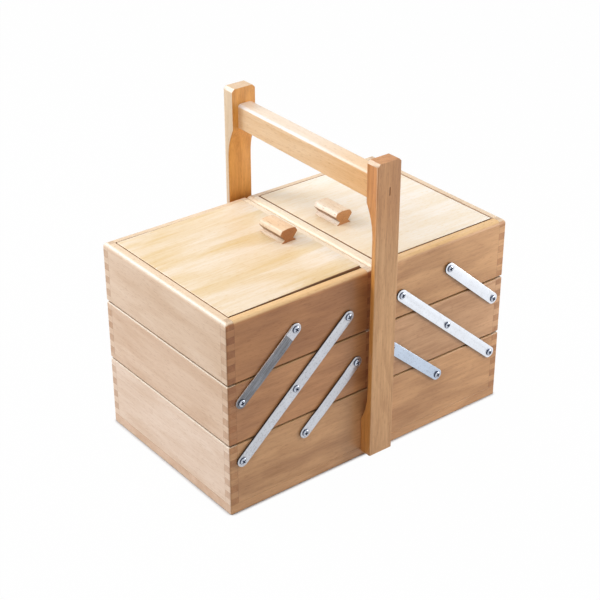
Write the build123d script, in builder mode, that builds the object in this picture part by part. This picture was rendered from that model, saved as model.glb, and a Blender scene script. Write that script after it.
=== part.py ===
from build123d import *
import os
from math import atan2, degrees, hypot

# A wooden sewing box whose trays swing out on steel straps, with a fixed carrying handle.
# X runs along the box, Y from front to back, Z up. The origin is under the middle of the box.
# The left half is made first, and the right half is its mirror image.

os.makedirs("parts", exist_ok=True)

# Driving dimensions of the box, in millimetres
length = 402.0
depth = 240.0
board = 10.5  # thickness of the side and end boards
base_thick = 12.0
bottom_top = 88.7  # rim of the bottom box
tray_height = 74.8
tier_gap = 1.4  # between one tier and the next
tray_gap = 0.5  # between left and right trays
fingers = 9  # cells of a corner joint, the end board has the first and the last
corner_round = 2.0
rim_round = 5.6  # top edges of the top trays
step_round = 2.2  # top edges of the tiers under them
underside_round = 2.4
seam_round = 0.5  # where the base board meets the bottom box
foot_round = 1.2
divider_round = 1.6

# Tray floors and dividers
floor_thick = 4.0
floor_lift = 4.0
groove_deep = 5.0
divider_thick = 6.0
divider_top = 50.0  # above the tray's own underside
divider_groove = 3.0
fit_gap = 0.1

# Linkage: every strap spans one or two steps from pivot to pivot
step_in = 73.0
step_up = 64.0
long_foot = (185.0, 67.0)  # distance from the middle of the box, and height
lower_foot = (99.0, 68.0)
upper_foot = (185.0, 141.5)
strap_wide = 14.0
strap_thick = 2.0
strap_edge = 0.35
strap_air = 0.4  # between a strap and the boards behind it

# Pivot screws
shank_r = 2.0
pivot_hole_r = 2.06
open_pivot_hole_r = 2.3
screw_in_wood = 8.5
head_r = 4.9
head_high = 2.4
head_air = 0.1
recess_long = 5.2
recess_wide = 0.9
recess_deep = 1.3

# Countersunk wood screws
wood_screw_r = 2.0
wood_head_r = 4.0
wood_hole_air = 0.05
base_screw_long = 28.0
base_screw_x = (50.0, 150.0)
base_screw_y = 60.0
upright_screw_long = 22.0
upright_screw_x = 9.0
upright_screw_z = 32.0

# Handle
upright_wide = 33.0
upright_thick = 17.0
upright_foot = 10.0
upright_top = 379.6
relief_deep = 10.0
relief_low = (52.0, 92.0)  # where the lower curve starts and ends
relief_high = (290.0, 328.0)
head_chamfer = 3.6
upright_round = 1.2
bar_wide = 22.0
bar_low = 329.5
bar_high = 358.5
bar_shift = 2.5
bar_top_round = 5.0
bar_low_round = 1.5
tenon_wide = 12.0
tenon_high = 18.0
tenon_long = 9.0
wedge_wide = 1.3
wedge_high = 10.0
wedge_sunk = 0.6

# Lids
lid_thick = 8.0
lid_front_gap = 2.2
lid_back_gap = 0.8
lid_end_gap = 1.2
lid_edge_round = 0.8
lid_pin_r = 1.5
lid_pin_in_lid = 10.0
lid_pin_in_board = 6.0
lid_pin_air = 0.05
lid_rest_size = 8.0
lid_rest_air = 0.3
left_pull_x = -36.8
right_pull_x = 43.5
pull_y = 7.4
pull_long = 41.0

# Worked out from the above
half_length = length / 2
half_depth = depth / 2
inner_face = half_depth - board
tray_in = tray_gap / 2  # a tray's end nearest the middle of the box
middle_low = bottom_top + tier_gap
middle_top = middle_low + tray_height
top_low = middle_top + tier_gap
rim = top_low + tray_height
strap_face = half_depth + strap_air
strap_length = hypot(step_in, step_up)
strap_angle = degrees(atan2(step_up, step_in))
lid_pin_z = rim - lid_thick / 2
lid_pin_x = half_length - board - lid_end_gap - lid_thick / 2
lid_free_x = tray_in + board + lid_end_gap
lid_front = -inner_face + lid_front_gap
lid_back = inner_face - lid_back_gap
divider_long = 2 * (inner_face + divider_groove)
bar_middle_z = (bar_low + bar_high) / 2

tray_span = (-half_length, -tray_in)
bottom_box = {
    "x": (-half_length, half_length),
    "z": (base_thick, bottom_top),
    "rounds": (seam_round, step_round),
    "floor": False,
}
middle_tray = {
    "x": tray_span,
    "z": (middle_low, middle_top),
    "rounds": (underside_round, step_round),
    "floor": True,
    "divider_x": -120.0,
}
top_tray = {
    "x": tray_span,
    "z": (top_low, rim),
    "rounds": (underside_round, rim_round),
    "floor": True,
    "divider_x": -100.0,
}


def moved_by(foot, steps):
    """The pivot that is some strap steps inward and upward from another one."""
    return (foot[0] - steps * step_in, foot[1] + steps * step_up)


pivots = {
    "long": [moved_by(long_foot, steps) for steps in (0, 1, 2)],
    "lower": [moved_by(lower_foot, steps) for steps in (0, 1)],
    "upper": [moved_by(upper_foot, steps) for steps in (0, 1)],
}
bottom_pivots = [pivots["long"][0], pivots["lower"][0]]
middle_pivots = [pivots["long"][1], pivots["lower"][1], pivots["upper"][0]]
top_pivots = [pivots["long"][2], pivots["upper"][1]]


def save(made, node):
    made.part.label = node
    export_step(made.part, f"parts/{node}.step")


def save_mirrored(made, plane, node):
    with BuildPart() as other:
        mirror(made.part, about=plane)
    save(other, node)


def save_left_and_right(made, node):
    save(made, "left_" + node)
    save_mirrored(made, Plane.YZ, "right_" + node)


def front_plane(x, z, y=-half_depth):
    """A plane that faces forward, with its own x along X and its own y along Z."""
    return Plane(origin=(x, y, z), x_dir=(1, 0, 0), z_dir=(0, -1, 0))


def finger_middles(tier, owner):
    """Heights of the finger joint's cells that belong to the side boards or to the end boards."""
    low, high = tier["z"]
    pitch = (high - low) / fingers
    first = 0 if owner == "end" else 1
    return [high - pitch * (cell + 0.5) for cell in range(first, fingers, 2)]


def cut_fingers(tier, xs, ys, owner):
    low, high = tier["z"]
    pitch = (high - low) / fingers
    with Locations(*[(x, y, z) for x in xs for y in ys for z in finger_middles(tier, owner)]):
        Box(board, board, pitch, mode=Mode.SUBTRACT)


def tier_ring(tier):
    """The four boards of a tier in one, rounded outside, with the grooves for floor and divider."""
    low_x, high_x = tier["x"]
    low, high = tier["z"]
    low_round, high_round = tier["rounds"]
    middle_x = (low_x + high_x) / 2
    inner_long = high_x - low_x - 2 * board
    with BuildPart() as ring:
        with BuildSketch(Plane.XY.offset(low)):
            with Locations((middle_x, 0)):
                Rectangle(high_x - low_x, depth)
        extrude(amount=high - low)
        fillet(ring.edges().filter_by(Axis.Z), corner_round)
        fillet(ring.faces().sort_by(Axis.Z)[-1].edges(), high_round)
        fillet(ring.faces().sort_by(Axis.Z)[0].edges(), low_round)
        with BuildSketch(Plane.XY.offset(low)):
            with Locations((middle_x, 0)):
                Rectangle(inner_long, 2 * inner_face)
        extrude(amount=high - low, mode=Mode.SUBTRACT)
        if tier["floor"]:
            with Locations((middle_x, 0, low + floor_lift + floor_thick / 2)):
                Box(
                    inner_long + 2 * groove_deep,
                    2 * (inner_face + groove_deep),
                    floor_thick,
                    mode=Mode.SUBTRACT,
                )
            divider_low = low + floor_lift + floor_thick
            divider_high = low + divider_top
            with Locations((tier["divider_x"], 0, (divider_low + divider_high) / 2)):
                Box(
                    divider_thick + fit_gap,
                    divider_long + fit_gap,
                    divider_high - divider_low,
                    mode=Mode.SUBTRACT,
                )
    return ring.part


def side_board(tier, pivot_points):
    """The front board of a tier, its fingers and its pilot holes for the pivot screws."""
    low_x, high_x = tier["x"]
    low, high = tier["z"]
    with BuildPart() as made:
        add(tier_ring(tier))
        with BuildSketch(Plane.XY.offset(low)):
            with Locations(((low_x + high_x) / 2, -half_depth + board / 2)):
                Rectangle(high_x - low_x, board)
        extrude(amount=high - low, mode=Mode.INTERSECT)
        corners = (low_x + board / 2, high_x - board / 2)
        cut_fingers(tier, corners, (-half_depth + board / 2,), "end")
        with Locations(*[front_plane(x, z) for x, z in pivot_points]):
            Hole(radius=shank_r, depth=screw_in_wood)
    return made


def end_board(tier, outer_x, inward):
    """An end board of a tier. inward is +1 or -1, towards the tier's middle."""
    low, high = tier["z"]
    middle_x = outer_x + inward * board / 2
    with BuildPart() as made:
        add(tier_ring(tier))
        with BuildSketch(Plane.XY.offset(low)):
            with Locations((middle_x, 0)):
                Rectangle(board, depth)
        extrude(amount=high - low, mode=Mode.INTERSECT)
        corner_y = half_depth - board / 2
        cut_fingers(tier, (middle_x,), (-corner_y, corner_y), "side")
    return made


def strap(points, hole_radii):
    """A flat steel strap in front of the box with a round end about its first and last pivot."""
    places = [(-x, z) for x, z in points]
    middle = (
        (places[0][0] + places[-1][0]) / 2,
        (places[0][1] + places[-1][1]) / 2,
    )
    steps = len(points) - 1
    with BuildPart() as made:
        with BuildSketch(front_plane(0, 0, -strap_face)):
            with Locations(middle):
                SlotCenterToCenter(steps * strap_length, strap_wide, rotation=strap_angle)
            for place, hole_r in zip(places, hole_radii):
                with Locations(place):
                    Circle(hole_r, mode=Mode.SUBTRACT)
        extrude(amount=strap_thick)
        outer_wires = [face.outer_wire() for face in made.faces().filter_by(Axis.Y)]
        chamfer([edge for wire in outer_wires for edge in wire.edges()], strap_edge)
    return made


def pivot_screw():
    """A pan head screw with a cross recess. Its axis is Z and a board's face is at z = 0."""
    under_head = strap_air + strap_thick + head_air
    with BuildPart() as made:
        with BuildSketch(Plane.XZ):
            with BuildLine():
                Polyline(
                    (0, under_head + head_high),
                    (0, -screw_in_wood),
                    (shank_r, -screw_in_wood + shank_r),
                    (shank_r, under_head),
                    (head_r, under_head),
                    (head_r, under_head + 0.25 * head_high),
                )
                ThreePointArc(
                    (head_r, under_head + 0.25 * head_high),
                    (0.72 * head_r, under_head + 0.78 * head_high),
                    (0, under_head + head_high),
                )
            make_face()
        revolve(axis=Axis.Z)
        with Locations((0, 0, under_head + head_high)):
            Box(recess_long, recess_wide, 2 * recess_deep, mode=Mode.SUBTRACT)
            Box(recess_wide, recess_long, 2 * recess_deep, mode=Mode.SUBTRACT)
    return made.part


def screws_front_and_back(points):
    """Pivot screws at these places on the front board and on the back board."""
    screw = pivot_screw()
    fronts = [front_plane(x, z) for x, z in points]
    backs = [Plane(origin=(x, half_depth, z), x_dir=(-1, 0, 0), z_dir=(0, 1, 0)) for x, z in points]
    with BuildPart() as made:
        with Locations(*fronts, *backs):
            add(screw)
    return made


def wood_screw(screw_long):
    """A countersunk screw that points up, with its head's face at z = 0."""
    with BuildPart() as made:
        with BuildSketch(Plane.XZ):
            with BuildLine():
                Polyline(
                    (0, 0),
                    (wood_head_r, 0),
                    (wood_screw_r, wood_head_r - wood_screw_r),
                    (wood_screw_r, screw_long - 2 * wood_screw_r),
                    (0, screw_long),
                    close=True,
                )
            make_face()
        revolve(axis=Axis.Z)
        Box(recess_long, recess_wide, 2 * recess_deep, mode=Mode.SUBTRACT)
        Box(recess_wide, recess_long, 2 * recess_deep, mode=Mode.SUBTRACT)
    return made.part


# Bottom box: a base board under a finger-jointed frame
side_screw_places = [(side * x, -half_depth + board / 2) for x in base_screw_x for side in (-1, 1)]
end_screw_places = [(-half_length + board / 2, side * base_screw_y) for side in (-1, 1)]
base_screw_places = [(x, side * y) for x, y in side_screw_places for side in (-1, 1)]
base_screw_places += [(side * x, y) for x, y in end_screw_places for side in (-1, 1)]

with BuildPart() as base_board:
    with BuildSketch():
        Rectangle(length, depth)
    extrude(amount=base_thick)
    fillet(base_board.edges().filter_by(Axis.Z), corner_round)
    fillet(base_board.faces().sort_by(Axis.Z)[-1].edges(), seam_round)
    fillet(base_board.faces().sort_by(Axis.Z)[0].edges(), foot_round)
    with Locations(*[Plane(origin=(x, y, 0), z_dir=(0, 0, -1)) for x, y in base_screw_places]):
        CounterSinkHole(wood_screw_r + wood_hole_air, wood_head_r + wood_hole_air, counter_sink_angle=90)
save(base_board, "base_board")

bottom_front = side_board(bottom_box, [(side * x, z) for x, z in bottom_pivots for side in (-1, 1)])
with BuildPart() as bottom_front_side:
    add(bottom_front.part)
    with Locations(*[Plane(origin=(x, y, base_thick), z_dir=(0, 0, -1)) for x, y in side_screw_places]):
        Hole(wood_screw_r + wood_hole_air, depth=base_screw_long - base_thick)
    upright_screw_seats = [
        Plane(origin=(side * upright_screw_x, -inner_face, upright_screw_z), z_dir=(0, 1, 0))
        for side in (-1, 1)
    ]
    with Locations(*upright_screw_seats):
        CounterSinkHole(wood_screw_r + wood_hole_air, wood_head_r + wood_hole_air, counter_sink_angle=90)
save(bottom_front_side, "bottom_front_side")
save_mirrored(bottom_front_side, Plane.XZ, "bottom_back_side")

bottom_end = end_board(bottom_box, -half_length, 1)
with BuildPart() as bottom_left_end:
    add(bottom_end.part)
    with Locations(*[Plane(origin=(x, y, base_thick), z_dir=(0, 0, -1)) for x, y in end_screw_places]):
        Hole(wood_screw_r + wood_hole_air, depth=base_screw_long - base_thick)
save(bottom_left_end, "bottom_left_end")
save_mirrored(bottom_left_end, Plane.YZ, "bottom_right_end")

base_screw = wood_screw(base_screw_long)
with BuildPart() as base_screws:
    with Locations(*[(x, y, 0) for x, y in base_screw_places]):
        add(base_screw)
save(base_screws, "base_screws")

bottom_pivot_screws = screws_front_and_back([(side * x, z) for x, z in bottom_pivots for side in (-1, 1)])
save(bottom_pivot_screws, "bottom_pivot_screws")

# Handle: two uprights, relieved on the inside where the trays pass, and a bar between their heads
outer_y = -half_depth - upright_thick
relief_y = -half_depth - relief_deep
with BuildPart() as front_upright:
    with BuildSketch(Plane.YZ):
        with BuildLine():
            Polyline(
                (relief_y, relief_low[1]),
                (relief_y, relief_high[0]),
            )
            TangentArc(
                (relief_y, relief_high[0]),
                (-half_depth, relief_high[1]),
                tangent=(0, 1),
            )
            Polyline(
                (-half_depth, relief_high[1]),
                (-half_depth, upright_top),
                (outer_y, upright_top),
                (outer_y, upright_foot),
                (-half_depth, upright_foot),
                (-half_depth, relief_low[0]),
            )
            TangentArc(
                (relief_y, relief_low[1]),
                (-half_depth, relief_low[0]),
                tangent=(0, -1),
            )
        make_face()
    extrude(amount=upright_wide / 2, both=True)
    chamfer(front_upright.faces().sort_by(Axis.Z)[-1].edges().filter_by(Axis.Y), head_chamfer)
    long_edges = front_upright.edges().filter_by(Axis.Z).group_by(Axis.Y)[0]
    fillet(long_edges, upright_round)
    with Locations((bar_shift, -half_depth - tenon_long / 2, bar_middle_z)):
        Box(tenon_wide, tenon_long, tenon_high, mode=Mode.SUBTRACT)
    with Locations((bar_shift, outer_y, bar_middle_z)):
        Box(wedge_wide, 2 * (upright_thick - tenon_long), wedge_high, mode=Mode.SUBTRACT)
    upright_pilots = [
        Plane(origin=(side * upright_screw_x, -half_depth, upright_screw_z), z_dir=(0, 1, 0))
        for side in (-1, 1)
    ]
    with Locations(*upright_pilots):
        Hole(wood_screw_r + wood_hole_air, depth=upright_screw_long - board)
save(front_upright, "front_upright")
save_mirrored(front_upright, Plane.XZ, "back_upright")

upright_screw = wood_screw(upright_screw_long)
front_seats = [
    Plane(
        origin=(side * upright_screw_x, -inner_face, upright_screw_z),
        x_dir=(1, 0, 0),
        z_dir=(0, -1, 0),
    )
    for side in (-1, 1)
]
with BuildPart() as upright_screws:
    with Locations(*front_seats):
        add(upright_screw)
    mirror(about=Plane.XZ)
save(upright_screws, "upright_screws")

with BuildPart() as handle_bar:
    with BuildSketch(Plane.XZ) as bar_section:
        with Locations((bar_shift, bar_middle_z)):
            Rectangle(bar_wide, bar_high - bar_low)
        fillet(bar_section.vertices().group_by(Axis.Y)[-1], bar_top_round)
        fillet(bar_section.vertices().group_by(Axis.Y)[0], bar_low_round)
    extrude(amount=half_depth, both=True)
    with Locations((bar_shift, 0, bar_middle_z)):
        Box(tenon_wide, depth + 2 * tenon_long, tenon_high)
save(handle_bar, "handle_bar")

wedge_long = upright_thick - tenon_long - wedge_sunk
with BuildPart() as handle_wedges:
    with Locations((bar_shift, -half_depth - tenon_long - wedge_long / 2, bar_middle_z)):
        Box(wedge_wide, wedge_long, wedge_high)
    mirror(about=Plane.XZ)
save(handle_wedges, "handle_wedges")

# Trays: four boards, a floor, a divider and the screws that their straps turn on
for tier_name, tray, tray_pivots in (
    ("middle", middle_tray, middle_pivots),
    ("top", top_tray, top_pivots),
):
    low = tray["z"][0]
    tray_middle = (tray["x"][0] + tray["x"][1]) / 2
    tray_inner_long = tray["x"][1] - tray["x"][0] - 2 * board
    left_pivots = [(-x, z) for x, z in tray_pivots]

    with BuildPart() as tray_front_side:
        add(side_board(tray, left_pivots).part)
        if tier_name == "top":
            with Locations(Plane(origin=(-lid_pin_x, -inner_face, lid_pin_z), z_dir=(0, 1, 0))):
                Hole(lid_pin_r, depth=lid_pin_in_board)
    save_left_and_right(tray_front_side, f"{tier_name}_front_side")
    with BuildPart() as tray_back_side:
        mirror(tray_front_side.part, about=Plane.XZ)
    save_left_and_right(tray_back_side, f"{tier_name}_back_side")

    save_left_and_right(end_board(tray, -half_length, 1), f"{tier_name}_outer_end")
    save_left_and_right(end_board(tray, -tray_in, -1), f"{tier_name}_inner_end")

    with BuildPart() as tray_floor:
        with BuildSketch(Plane.XY.offset(low + floor_lift)):
            with Locations((tray_middle, 0)):
                Rectangle(
                    tray_inner_long + 2 * groove_deep - fit_gap,
                    2 * (inner_face + groove_deep) - fit_gap,
                )
        extrude(amount=floor_thick)
    save_left_and_right(tray_floor, f"{tier_name}_floor")

    with BuildPart() as tray_divider:
        with BuildSketch(Plane.XY.offset(low + floor_lift + floor_thick)):
            with Locations((tray["divider_x"], 0)):
                Rectangle(divider_thick, divider_long)
        extrude(amount=divider_top - floor_lift - floor_thick)
        fillet(tray_divider.faces().sort_by(Axis.Z)[-1].edges().filter_by(Axis.Y), divider_round)
    save_left_and_right(tray_divider, f"{tier_name}_divider")

    save_left_and_right(screws_front_and_back(left_pivots), f"{tier_name}_pivot_screws")

# Lids: a panel that turns on two hidden pins at its outer end, a pull, and a strip to rest on
with BuildPart() as lid_panel:
    with BuildSketch(front_plane(0, 0, lid_back)):
        with Locations((-(lid_pin_x + lid_free_x) / 2, lid_pin_z)):
            Rectangle(lid_pin_x - lid_free_x, lid_thick)
        with Locations((-lid_pin_x, lid_pin_z)):
            Circle(lid_thick / 2)
    extrude(amount=lid_back - lid_front)
    top_edges = lid_panel.faces().filter_by(Plane.XY).sort_by(Axis.Z)[-1].edges()
    fillet(top_edges.filter_by(Axis.X) + top_edges.filter_by(Axis.Y).sort_by(Axis.X)[-1:], lid_edge_round)
    lid_pin_mouths = [
        Plane(origin=(-lid_pin_x, face_y, lid_pin_z), z_dir=(0, side, 0))
        for face_y, side in ((lid_front, -1), (lid_back, 1))
    ]
    with Locations(*lid_pin_mouths):
        Hole(lid_pin_r + lid_pin_air, depth=lid_pin_in_lid + lid_front_gap)
save_left_and_right(lid_panel, "lid_panel")

pin_low = -lid_front - lid_pin_in_lid
pin_long = lid_pin_in_lid + lid_front_gap + lid_pin_in_board
with BuildPart() as lid_pins:
    with BuildSketch(front_plane(-lid_pin_x, lid_pin_z, -pin_low)):
        Circle(lid_pin_r)
    extrude(amount=pin_long)
    mirror(about=Plane.XZ)
save_left_and_right(lid_pins, "lid_pins")

with BuildPart() as lid_rest:
    with BuildSketch(Plane.XZ):
        with Locations(
            (
                -tray_in - board - lid_rest_size / 2,
                rim - lid_thick - lid_rest_air - lid_rest_size / 2,
            )
        ):
            Rectangle(lid_rest_size, lid_rest_size)
    extrude(amount=inner_face, both=True)
save_left_and_right(lid_rest, "lid_rest")

# The pull's section: a foot that slopes in to a waist, and a wider cap with a crowned top
pull_foot = (10.0, 0.9)
pull_waist = (6.2, 3.6)
pull_brim = (12.4, 11.0)
pull_shoulder = (9.4, 16.0)
pull_crown = 17.0
pull_waist_round = 1.0
pull_shoulder_round = 1.8
pull_end_chamfer = 0.4
right_side = [(pull_foot[0], 0), pull_foot, pull_waist, pull_brim, pull_shoulder]
with BuildPart() as left_lid_pull:
    with BuildSketch(front_plane(left_pull_x, rim, pull_y)) as pull_section:
        with BuildLine():
            Polyline(*[(-x, z) for x, z in reversed(right_side)], *right_side)
            ThreePointArc(right_side[-1], (0, pull_crown), (-pull_shoulder[0], pull_shoulder[1]))
        make_face()
        corners = pull_section.vertices().group_by(Axis.Y)
        fillet(corners[2] + corners[3], pull_waist_round)
        fillet(pull_section.vertices().group_by(Axis.Y)[-1], pull_shoulder_round)
    extrude(amount=pull_long / 2, both=True)
    pull_ends = left_lid_pull.faces().filter_by(Axis.Y)
    chamfer(pull_ends.edges(), pull_end_chamfer)
save(left_lid_pull, "left_lid_pull")
with BuildPart() as right_lid_pull:
    with Locations((right_pull_x - left_pull_x, 0, 0)):
        add(left_lid_pull.part)
save(right_lid_pull, "right_lid_pull")

# Straps: a long one and two short ones at the front and at the back of each half
running = pivot_hole_r
straps = {
    "long_strap": strap(pivots["long"], (running, running, running)),
    "lower_strap": strap(pivots["lower"], (running, open_pivot_hole_r)),
    "upper_strap": strap(pivots["upper"], (running, open_pivot_hole_r)),
}
for strap_name, front_strap in straps.items():
    save_left_and_right(front_strap, f"front_{strap_name}")
    with BuildPart() as back_strap:
        mirror(front_strap.part, about=Plane.XZ)
    save_left_and_right(back_strap, f"back_{strap_name}")
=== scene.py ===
import random
from math import radians

import bmesh
import bpy
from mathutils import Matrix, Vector


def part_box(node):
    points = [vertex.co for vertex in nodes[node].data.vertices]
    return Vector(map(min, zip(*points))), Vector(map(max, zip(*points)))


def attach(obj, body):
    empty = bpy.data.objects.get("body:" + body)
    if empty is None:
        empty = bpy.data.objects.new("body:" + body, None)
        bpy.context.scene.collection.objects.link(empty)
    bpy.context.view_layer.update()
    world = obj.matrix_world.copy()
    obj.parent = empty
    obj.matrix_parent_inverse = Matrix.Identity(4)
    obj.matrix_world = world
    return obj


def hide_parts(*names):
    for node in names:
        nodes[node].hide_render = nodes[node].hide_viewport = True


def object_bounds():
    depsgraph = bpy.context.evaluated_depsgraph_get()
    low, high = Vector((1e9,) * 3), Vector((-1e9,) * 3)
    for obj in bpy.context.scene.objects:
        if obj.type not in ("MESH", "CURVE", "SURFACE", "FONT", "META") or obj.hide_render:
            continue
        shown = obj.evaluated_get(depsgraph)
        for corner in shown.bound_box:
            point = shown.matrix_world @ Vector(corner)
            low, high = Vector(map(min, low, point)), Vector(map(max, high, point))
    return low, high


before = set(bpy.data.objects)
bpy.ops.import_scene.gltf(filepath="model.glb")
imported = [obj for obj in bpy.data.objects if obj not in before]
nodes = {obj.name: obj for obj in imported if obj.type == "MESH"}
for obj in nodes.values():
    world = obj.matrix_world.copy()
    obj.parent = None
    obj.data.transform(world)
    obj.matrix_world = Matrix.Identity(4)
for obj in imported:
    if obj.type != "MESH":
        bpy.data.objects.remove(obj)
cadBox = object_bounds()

random.seed(11)


# Camera, at about waist height in front of the left end

cameraView = {
    "place": (-0.9436, -1.1922, 0.9922),
    "turn": (61.001, 0.0631, -38.071),  # degrees about X, Y and Z
    "lens": 88.49,
    "sensor": 36.0,
    "nearest": 0.05,  # where its view begins
}


def addCamera(view):
    data = bpy.data.cameras.new("boxCamera")
    data.lens = view["lens"]
    data.sensor_width = view["sensor"]
    data.clip_start = view["nearest"]
    camera = bpy.data.objects.new("boxCamera", data)
    camera.location = view["place"]
    camera.rotation_euler = [radians(angle) for angle in view["turn"]]
    bpy.context.scene.collection.objects.link(camera)
    bpy.context.scene.camera = camera


addCamera(cameraView)
bpy.context.scene.view_settings.view_transform = "Standard"
print("camera set")


# Small helpers for node trees

def addNode(tree, kind, inputs=None, **settings):
    # an input is given another node's socket or a plain value
    node = tree.nodes.new(kind)
    for name, value in settings.items():
        setattr(node, name, value)
    for name, value in (inputs or {}).items():
        if isinstance(value, bpy.types.NodeSocket):
            tree.links.new(value, node.inputs[name])
        else:
            node.inputs[name].default_value = value
    return node


def calc(tree, operation, *values):
    return addNode(tree, "ShaderNodeMath", dict(enumerate(values)), operation=operation).outputs[0]


def vectorCalc(tree, operation, *values):
    return addNode(tree, "ShaderNodeVectorMath", dict(enumerate(values)), operation=operation).outputs


def ramp(tree, value, low, high, out=(0.0, 1.0)):
    ends = {"Value": value, "From Min": low, "From Max": high, "To Min": out[0], "To Max": out[1]}
    return addNode(tree, "ShaderNodeMapRange", ends, interpolation_type="SMOOTHSTEP").outputs["Result"]


def mixColour(tree, amount, first, second, blend="MIX"):
    mixed = {0: amount, 6: first, 7: second}
    return addNode(tree, "ShaderNodeMix", mixed, data_type="RGBA", blend_type=blend).outputs[2]


def tinted(tree, colour, tint):
    return mixColour(tree, 1.0, colour, (*tint, 1), "MULTIPLY")


def noise(tree, place, **values):
    return addNode(tree, "ShaderNodeTexNoise", {"Vector": place, "Scale": 1.0, **values}).outputs[0]


def mapped(tree, place, **values):
    return addNode(tree, "ShaderNodeMapping", {"Vector": place, **values}).outputs[0]


def separated(tree, place):
    return addNode(tree, "ShaderNodeSeparateXYZ", {"Vector": place}).outputs


def mixShaders(tree, share, first, second):
    return addNode(tree, "ShaderNodeMixShader", {"Fac": share, 1: first.outputs[0], 2: second.outputs[0]})


def showSurface(tree, shader, kind="ShaderNodeOutputMaterial"):
    addNode(tree, kind, {"Surface": shader.outputs[0]})


def useGroup(tree, group, **inputs):
    return addNode(tree, "ShaderNodeGroup", inputs, node_tree=group).outputs


def newGroup(name, inputs, outputs):
    group = bpy.data.node_groups.new(name, "ShaderNodeTree")
    for socketName, socketType, value in inputs:
        socket = group.interface.new_socket(name=socketName, in_out="INPUT", socket_type=socketType)
        if value is not None:
            socket.default_value = value
    for socketName, socketType in outputs:
        group.interface.new_socket(name=socketName, in_out="OUTPUT", socket_type=socketType)
    entry = group.nodes.new("NodeGroupInput")
    leave = group.nodes.new("NodeGroupOutput")
    return group, entry.outputs, leave.inputs


def newMaterial(name):
    material = bpy.data.materials.new(name)
    material.use_nodes = True
    material.node_tree.nodes.clear()
    return material, material.node_tree


floatSocket, vectorSocket = "NodeSocketFloat", "NodeSocketVector"


def deselectAll():
    bpy.ops.object.select_all(action="DESELECT")


# Studio: a white floor in a white room, a lamp behind the left end, one above and one at the right

studio = {
    "floorHalf": 6.0,
    "floorColour": (0.60, 0.60, 0.61, 1),
    "floorWhite": 0.985,  # how much of the floor's look is plain white
    "contactReach": 0.006,  # how far the thin shade at the box's foot goes
    "contactRamp": (0.52, 0.86),
    "contactSamples": 8,
    "roomColour": (0.95, 0.97, 1.0, 1),
    "roomStrength": 0.42,
}
lamps = {
    "backLamp": {
        "place": (-1.10, 1.58, 1.38),
        "aim": (0, 0, 0.2),
        "size": (1.1, 0.9),
        "power": 30,
        "colour": (1.0, 0.98, 0.96),
    },
    "topLamp": {
        "place": (-0.35, -0.1, 2.3),
        "aim": (0.05, 0, 0.15),
        "size": (1.8, 1.8),
        "power": 25,
        "colour": (1.0, 0.99, 0.97),
    },
    "rightLamp": {
        "place": (0.80, -0.55, 0.28),
        "aim": (0.1, -0.1, 0.1),
        "size": (0.35, 0.4),
        "power": 4.0,
        "colour": (1.0, 0.97, 0.93),
    },
}
plainWhite = {"Color": (1, 1, 1, 1), "Strength": 1.0}


def seenDirectly(tree):
    path = addNode(tree, "ShaderNodeLightPath")
    seen = calc(tree, "MAXIMUM", path.outputs["Is Camera Ray"], path.outputs["Is Glossy Ray"])
    return calc(tree, "MAXIMUM", seen, path.outputs["Is Transmission Ray"])


def whiteFloorFinish():
    material, tree = newMaterial("whiteFloor")
    paint = addNode(tree, "ShaderNodeBsdfDiffuse", {"Color": studio["floorColour"]})
    plain = addNode(tree, "ShaderNodeEmission", plainWhite)
    foot = addNode(tree, "ShaderNodeAmbientOcclusion", samples=studio["contactSamples"])
    foot.inputs["Distance"].default_value = studio["contactReach"]
    openAir = ramp(tree, foot.outputs["AO"], *studio["contactRamp"])
    clear = calc(tree, "MULTIPLY", openAir, studio["floorWhite"])
    share = calc(tree, "MULTIPLY", seenDirectly(tree), clear)
    showSurface(tree, mixShaders(tree, share, paint, plain))
    return material


def buildStudio():
    deselectAll()
    bpy.ops.mesh.primitive_plane_add(size=2 * studio["floorHalf"], location=(0, 0, cadBox[0][2]))
    floor = bpy.context.object
    floor.name = "studioFloor"
    floor.data.materials.append(whiteFloorFinish())
    world = bpy.data.worlds.new("whiteRoom")
    bpy.context.scene.world = world
    world.use_nodes = True
    tree = world.node_tree
    tree.nodes.clear()
    room = {"Color": studio["roomColour"], "Strength": studio["roomStrength"]}
    light = addNode(tree, "ShaderNodeBackground", room)
    plain = addNode(tree, "ShaderNodeBackground", plainWhite)
    showSurface(tree, mixShaders(tree, seenDirectly(tree), light, plain), "ShaderNodeOutputWorld")
    for name, lamp in lamps.items():
        data = bpy.data.lights.new(name, "AREA")
        data.shape = "RECTANGLE"
        data.size, data.size_y = lamp["size"]
        data.energy = lamp["power"]
        data.color = lamp["colour"]
        lampObject = bpy.data.objects.new(name, data)
        lampObject.location = lamp["place"]
        toward = Vector(lamp["aim"]) - Vector(lamp["place"])
        lampObject.rotation_euler = toward.to_track_quat("-Z", "Y").to_euler()
        lampObject.visible_camera = False
        bpy.context.scene.collection.objects.link(lampObject)


buildStudio()
print("studio built")


# Wood: one figure for all boards, turned so that its own X runs along the grain

woodGrain = {
    "waver": (3.6, 11.0, 11.0),  # scales, along the grain and across it
    "push": 14.0,  # how many rings the waver can move a ring by
    "ringRise": (0.05, 0.8),  # shares of a ring
    "ringFall": (0.8, 1.0),
    "streakLong": 17.0,  # times its width
    "streakRamp": (0.32, 0.7),
    "flecks": (150.0, 900.0, 900.0),
    "fleckRamp": (0.56, 0.74),
    "clouds": (8.0, 34.0, 34.0),
    "cloudRamp": (0.36, 0.64),
}


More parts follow.
